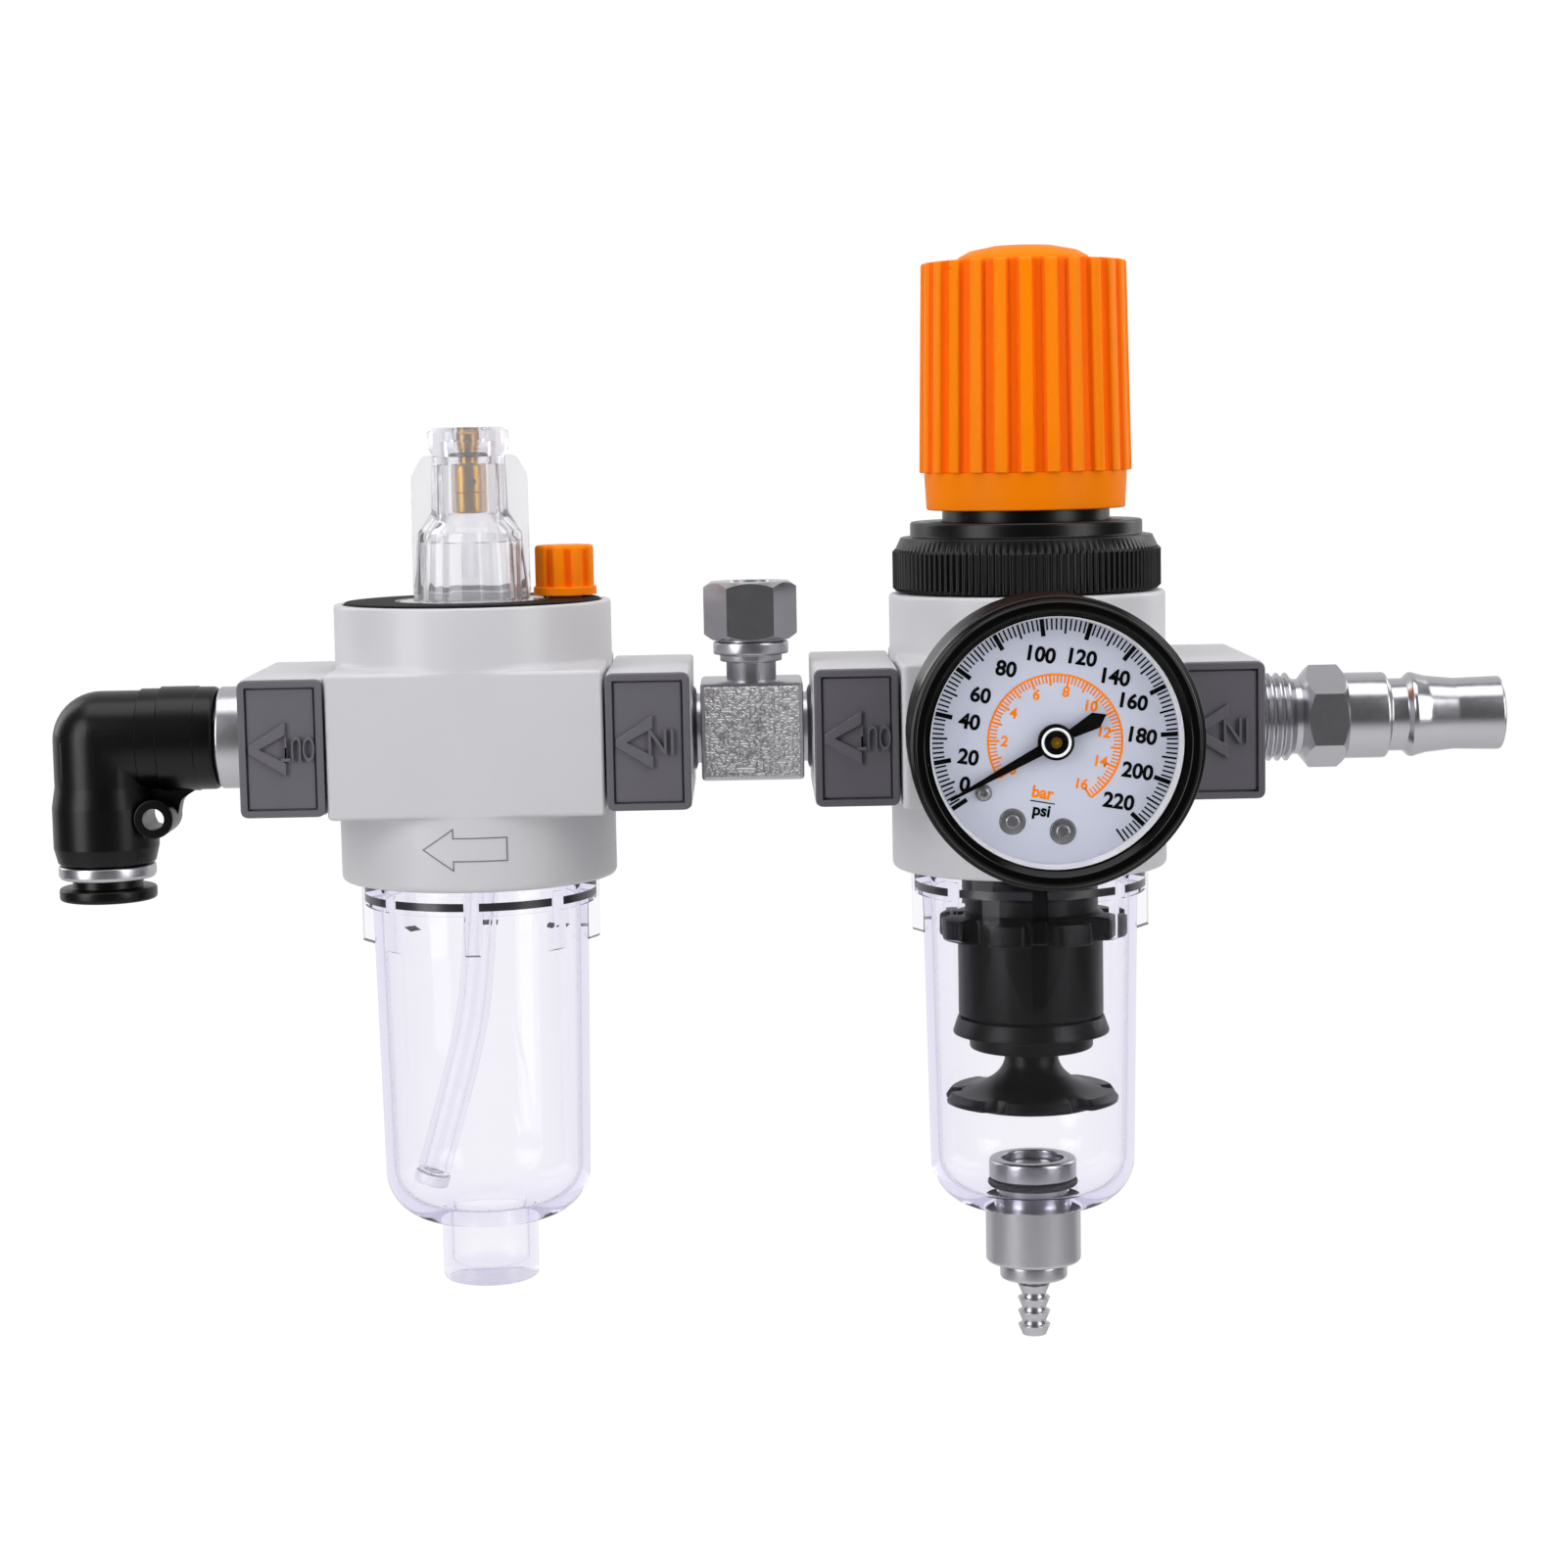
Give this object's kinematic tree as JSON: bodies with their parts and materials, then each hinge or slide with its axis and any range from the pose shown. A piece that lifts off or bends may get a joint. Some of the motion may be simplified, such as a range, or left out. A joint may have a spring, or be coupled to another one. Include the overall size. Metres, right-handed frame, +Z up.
{
  "type": "filter regulator lubricator",
  "caption": "In-line air service unit: filter-regulator with knob, gauge and clear bowl, tee, oil lubricator with sight dome, inlet plug and push-in elbow outlet.",
  "frame": {"origin": "where the flow axis through both units meets the upright axis of the regulator", "axes": "+X along the flow axis towards the inlet plug, +Z up through the knob, -Y to the front where the gauge faces"},
  "size_m": [0.216, 0.0694, 0.1642],
  "materials": {
    "cast_body": "satin grey paint over die-cast aluminium",
    "dark_cover": "satin",
    "orange_plastic": "satin",
    "black_plastic": "satin",
    "rubber": "matt",
    "clear_plastic": "clear polycarbonate, gloss",
    "nickel": "bright plating",
    "steel": "bright",
    "brass": "turned",
    "dial_paint": "matt",
    "sinter": "porous"
  },
  "bodies": {
    "frame": {"regulator_body": "cast_body", "regulator_bonnet": "black_plastic", "bonnet_ring_nut": "black_plastic", "adjusting_spring": "steel", "diaphragm": "rubber", "valve_spring": "steel", "filter_holder": "black_plastic", "filter_element": "sinter", "filter_baffle": "black_plastic", "gauge_stem": "brass", "gauge_case": "black_plastic", "gauge_bezel": "black_plastic", "gauge_lens": "clear_plastic", "gauge_dial": "dial_paint", "dial_screw_left": "steel", "dial_screw_right": "steel", "needle_stop_pin": "steel", "bourdon_tube": "brass", "regulator_inlet_port_plate": "cast_body", "regulator_inlet_port_cover": "dark_cover", "regulator_outlet_port_plate": "cast_body", "regulator_outlet_port_cover": "dark_cover", "lubricator_inlet_port_plate": "cast_body", "lubricator_inlet_port_cover": "dark_cover", "lubricator_outlet_port_plate": "cast_body", "lubricator_outlet_port_cover": "dark_cover", "tee_block": "nickel", "lubricator_body": "cast_body", "lubricator_top_plate": "dark_cover", "sight_dome": "clear_plastic", "oil_tube": "clear_plastic", "oil_strainer": "steel", "elbow_stud": "nickel", "inlet_plug": "nickel"},
    "spindle": {"adjusting_spindle": "steel"},
    "knob": {"pressure_knob": "orange_plastic"},
    "seat_nut": {"spring_seat_nut": "brass"},
    "diaphragm_disc": {"diaphragm_plate": "steel"},
    "valve": {"regulator_valve": "brass"},
    "needle": {"gauge_needle": "black_plastic", "gauge_arbor": "brass"},
    "sector": {"sector_gear": "brass"},
    "filter_seal": {"filter_bowl_o_ring": "rubber"},
    "filter_bowl": {"filter_bowl": "clear_plastic", "drain_body": "nickel", "drain_o_ring": "rubber"},
    "drain_stem": {"drain_stem": "nickel"},
    "lubricator_seal": {"lubricator_bowl_o_ring": "rubber"},
    "lubricator_bowl": {"lubricator_bowl": "clear_plastic"},
    "fill_seal": {"fill_plug_o_ring": "rubber"},
    "fill_plug": {"fill_plug": "orange_plastic"},
    "drip_seal": {"drip_screw_o_ring": "rubber"},
    "drip_screw": {"drip_screw": "brass", "drip_tube": "clear_plastic"},
    "ferrule": {"tee_ferrule": "brass"},
    "tee_nut": {"tee_nut": "nickel"},
    "elbow": {"elbow_body": "black_plastic", "elbow_end_ring": "nickel"},
    "release_collar": {"release_collar": "black_plastic"}
  },
  "joints": [
    {"name": "knob_turn", "type": "hinge", "parent": "frame", "child": "spindle", "pos_m": [0, 0, 0.05], "axis": [0, 0, 1], "range_deg": [-1800, 0]},
    {"name": "knob_lock", "type": "slide", "parent": "spindle", "child": "knob", "axis": [0, 0, 1], "range_m": [-0.0014, 0]},
    {"name": "spring_seat_travel", "type": "slide", "parent": "frame", "child": "seat_nut", "axis": [0, 0, 1], "range_m": [-0.0075, 0], "deforming": ["adjusting_spring"]},
    {"name": "diaphragm_travel", "type": "slide", "parent": "frame", "child": "diaphragm_disc", "axis": [0, 0, 1], "range_m": [-0.001, 0], "stiffness_N_per_m": 1500, "deforming": ["diaphragm", "adjusting_spring"]},
    {"name": "valve_lift", "type": "slide", "parent": "frame", "child": "valve", "axis": [0, 0, 1], "range_m": [-0.001, 0], "deforming": ["valve_spring"]},
    {"name": "gauge_sweep", "type": "hinge", "parent": "frame", "child": "needle", "pos_m": [0, -0.044, 0.0012], "axis": [0, 1, 0], "range_deg": [0, 268], "stiffness_Nm_per_rad": 0.0004, "deforming": ["bourdon_tube"]},
    {"name": "sector_swing", "type": "hinge", "parent": "frame", "child": "sector", "pos_m": [0, -0.035, 0.0092], "axis": [0, 1, 0], "range_deg": [-45, 0]},
    {"name": "filter_bowl_turn", "type": "hinge", "parent": "frame", "child": "filter_seal", "pos_m": [0, 0, -0.0128], "axis": [0, 0, -1], "range_deg": [0, 1800]},
    {"name": "filter_bowl_travel", "type": "slide", "parent": "filter_seal", "child": "filter_bowl", "axis": [0, 0, -1], "range_m": [0, 0.0075]},
    {"name": "drain_press", "type": "slide", "parent": "filter_bowl", "child": "drain_stem", "axis": [0, 0, 1], "range_m": [0, 0.0025], "stiffness_N_per_m": 300},
    {"name": "lubricator_bowl_turn", "type": "hinge", "parent": "frame", "child": "lubricator_seal", "pos_m": [-0.0824, 0, -0.0128], "axis": [0, 0, -1], "range_deg": [0, 1800]},
    {"name": "lubricator_bowl_travel", "type": "slide", "parent": "lubricator_seal", "child": "lubricator_bowl", "axis": [0, 0, -1], "range_m": [0, 0.0075]},
    {"name": "fill_plug_turn", "type": "hinge", "parent": "frame", "child": "fill_seal", "pos_m": [-0.0688, 0.0035, 0.0205], "axis": [0, 0, 1], "range_deg": [0, 1440]},
    {"name": "fill_plug_travel", "type": "slide", "parent": "fill_seal", "child": "fill_plug", "axis": [0, 0, 1], "range_m": [0, 0.004]},
    {"name": "drip_screw_turn", "type": "hinge", "parent": "frame", "child": "drip_seal", "pos_m": [-0.0824, 0, 0.0415], "axis": [0, 0, 1], "range_deg": [0, 720]},
    {"name": "drip_screw_travel", "type": "slide", "parent": "drip_seal", "child": "drip_screw", "axis": [0, 0, 1], "range_m": [0, 0.001]},
    {"name": "tee_nut_turn", "type": "hinge", "parent": "frame", "child": "ferrule", "pos_m": [-0.0412, 0, 0.0193], "axis": [0, 0, 1], "range_deg": [0, 1080]},
    {"name": "tee_nut_travel", "type": "slide", "parent": "ferrule", "child": "tee_nut", "axis": [0, 0, 1], "range_m": [0, 0.003]},
    {"name": "elbow_swivel", "type": "hinge", "parent": "frame", "child": "elbow", "pos_m": [-0.125, 0, 0], "axis": [1, 0, 0], "continuous": true},
    {"name": "collar_press", "type": "slide", "parent": "elbow", "child": "release_collar", "axis": [0, 0, 1], "range_m": [0, 0.0011], "stiffness_N_per_m": 300}
  ],
  "couplings": [
    {"joint": "knob_turn", "follows": "spring_seat_travel", "rad_per_m": 4188.8},
    {"joint": "valve_lift", "follows": "diaphragm_travel", "ratio": 1},
    {"joint": "sector_swing", "follows": "gauge_sweep", "ratio": -0.16667},
    {"joint": "filter_bowl_turn", "follows": "filter_bowl_travel", "rad_per_m": 4188.8},
    {"joint": "lubricator_bowl_turn", "follows": "lubricator_bowl_travel", "rad_per_m": 4188.8},
    {"joint": "fill_plug_turn", "follows": "fill_plug_travel", "rad_per_m": 6283.2},
    {"joint": "drip_screw_turn", "follows": "drip_screw_travel", "rad_per_m": 12566},
    {"joint": "tee_nut_turn", "follows": "tee_nut_travel", "rad_per_m": 6283.2}
  ]
}
